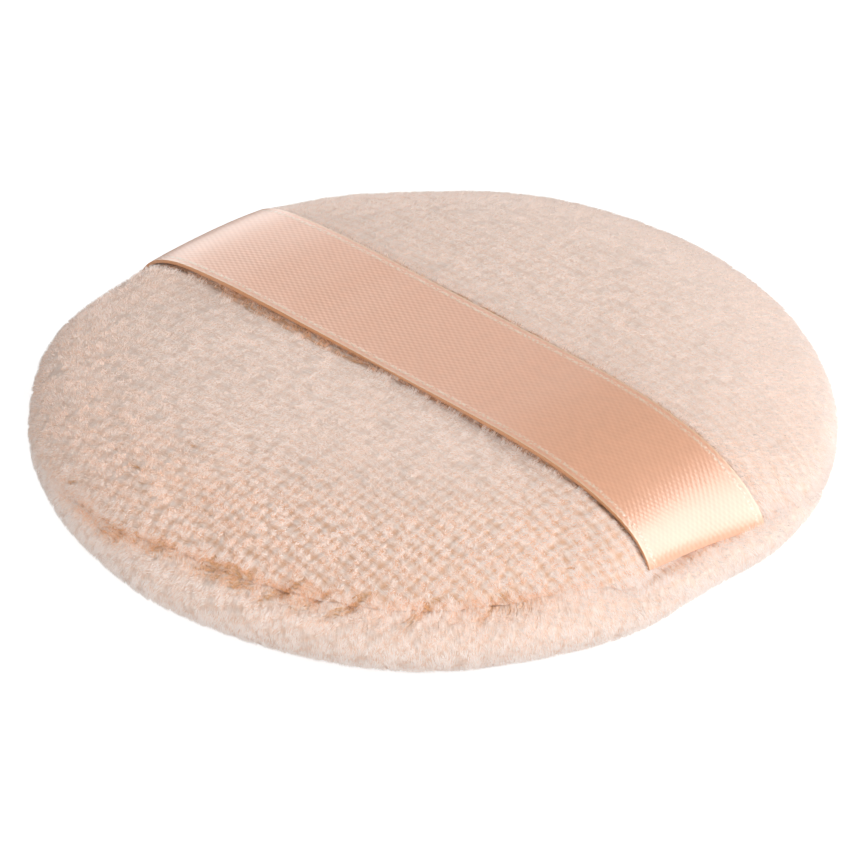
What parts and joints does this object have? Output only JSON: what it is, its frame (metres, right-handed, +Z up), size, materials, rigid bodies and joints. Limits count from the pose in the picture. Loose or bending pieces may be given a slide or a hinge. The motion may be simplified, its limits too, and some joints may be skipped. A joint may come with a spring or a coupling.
{
  "type": "powder puff",
  "caption": "Low round velour powder puff with a foam core, a sewn rim and a satin ribbon finger strap across its top.",
  "frame": {"origin": "middle of the flat face that the puff rests on", "axes": "+Z up through the crown, +X along the ribbon towards the end that is nearer in the picture, +Y across the ribbon"},
  "size_m": [0.0792, 0.082, 0.0142],
  "materials": {
    "velour": "short-pile velour, matt with a soft sheen",
    "foam": "open-cell foam, matt",
    "satin": "satin-woven ribbon, glossy along its length",
    "thread": "spun sewing thread"
  },
  "bodies": {
    "puff": {"upper_cover": "velour", "lower_cover": "velour", "foam_core": "foam", "ribbon_tab_near": "satin", "ribbon_tab_far": "satin", "needle_thread": "thread", "bobbin_thread": "thread", "closing_thread": "thread"},
    "ribbon": {"ribbon_band": "satin"}
  },
  "joints": [
    {"name": "ribbon_lift", "type": "slide", "parent": "puff", "child": "ribbon", "axis": [0, 0, 1], "range_m": [0, 0.01]}
  ]
}
